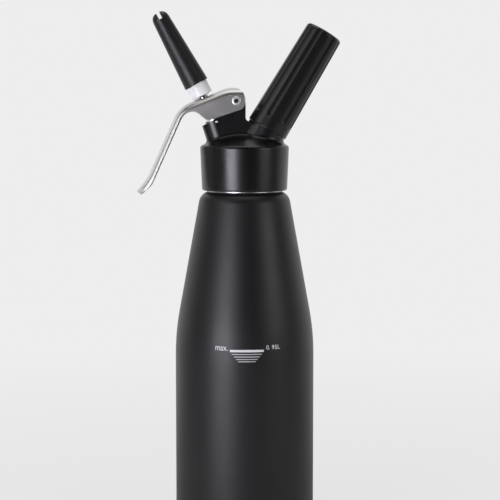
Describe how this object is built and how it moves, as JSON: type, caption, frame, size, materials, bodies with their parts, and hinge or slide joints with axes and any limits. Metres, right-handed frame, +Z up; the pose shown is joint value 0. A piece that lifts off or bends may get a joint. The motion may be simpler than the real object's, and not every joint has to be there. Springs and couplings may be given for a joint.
{
  "type": "whipped cream dispenser",
  "caption": "Black bottle with a screw-on dispensing head, a squeeze lever on a leaning valve with a slotted decorator tip, and a fluted gas charger holder.",
  "frame": {"origin": "centre of the bottle's round foot, on the plane it stands on", "axes": "+Z up along the bottle's axis, -X towards the lever and the spout, +X towards the charger holder, -Y towards the fill mark"},
  "size_m": [0.1451, 0.1, 0.3732],
  "materials": {
    "black_lacquer": "matte black lacquer",
    "lever_steel": "satin",
    "bright_steel": "polished",
    "white_plastic": "smooth white",
    "black_plastic": "satin black",
    "liner_metal": "turned",
    "charger_steel": "drawn",
    "plated_brass": "nickel plated",
    "seal_rubber": "soft"
  },
  "bodies": {
    "bottle": {"bottle": "black_lacquer"},
    "gasket": {"head_gasket": "seal_rubber"},
    "head": {"dispenser_head": "black_lacquer", "valve_bush": "bright_steel", "bush_pin": "bright_steel", "stem_o_ring": "seal_rubber", "valve_spring": "bright_steel", "pivot_screw": "bright_steel", "pivot_nut": "bright_steel", "charging_valve": "plated_brass", "piercing_needle": "bright_steel", "charger_seal": "seal_rubber", "check_sleeve": "seal_rubber"},
    "lever": {"lever": "lever_steel"},
    "valve": {"valve_stem": "bright_steel", "valve_seal": "seal_rubber", "thrust_collar": "bright_steel", "adapter_nut": "bright_steel", "nozzle_adapter": "white_plastic"},
    "tip_ring": {"tip_seal": "seal_rubber"},
    "tip": {"decorator_tip": "black_plastic"},
    "charger": {"gas_charger": "charger_steel"},
    "holder": {"charger_holder": "black_plastic", "holder_insert": "liner_metal"}
  },
  "joints": [
    {"name": "head_lift", "type": "slide", "parent": "bottle", "child": "gasket", "axis": [0, 0, 1], "range_m": [0, 0.012]},
    {"name": "head_unscrew", "type": "hinge", "parent": "gasket", "child": "head", "pos_m": [0, 0, 0.26725], "axis": [0, 0, 1], "range_deg": [0, 1080.1]},
    {"name": "lever_squeeze", "type": "hinge", "parent": "head", "child": "lever", "pos_m": [-0.0057, 0, 0.3098], "axis": [0, -1, 0], "range_deg": [0, 12.01]},
    {"name": "valve_travel", "type": "slide", "parent": "head", "child": "valve", "axis": [0.4787, 0, -0.878], "range_m": [0, 0.00393], "stiffness_N_per_m": 4000, "springref_m": -0.004, "deforming": ["valve_spring"]},
    {"name": "tip_lift", "type": "slide", "parent": "valve", "child": "tip_ring", "axis": [-0.4787, 0, 0.878], "range_m": [0, 0.005]},
    {"name": "tip_unscrew", "type": "hinge", "parent": "tip_ring", "child": "tip", "pos_m": [-0.03433, 0, 0.32164], "axis": [-0.4787, 0, 0.878], "range_deg": [0, 900.1]},
    {"name": "charger_lift", "type": "slide", "parent": "head", "child": "charger", "axis": [0.512, 0, 0.859], "range_m": [0, 0.01]},
    {"name": "holder_unscrew", "type": "hinge", "parent": "charger", "child": "holder", "pos_m": [0.0161, 0, 0.2898], "axis": [0.512, 0, 0.859], "range_deg": [0, 1440.1]}
  ],
  "couplings": [
    {"joint": "head_unscrew", "follows": "head_lift", "rad_per_m": 1570.8},
    {"joint": "lever_squeeze", "follows": "valve_travel", "rad_per_m": 53.337},
    {"joint": "tip_unscrew", "follows": "tip_lift", "rad_per_m": 3141.6},
    {"joint": "holder_unscrew", "follows": "charger_lift", "rad_per_m": 2513.3}
  ]
}
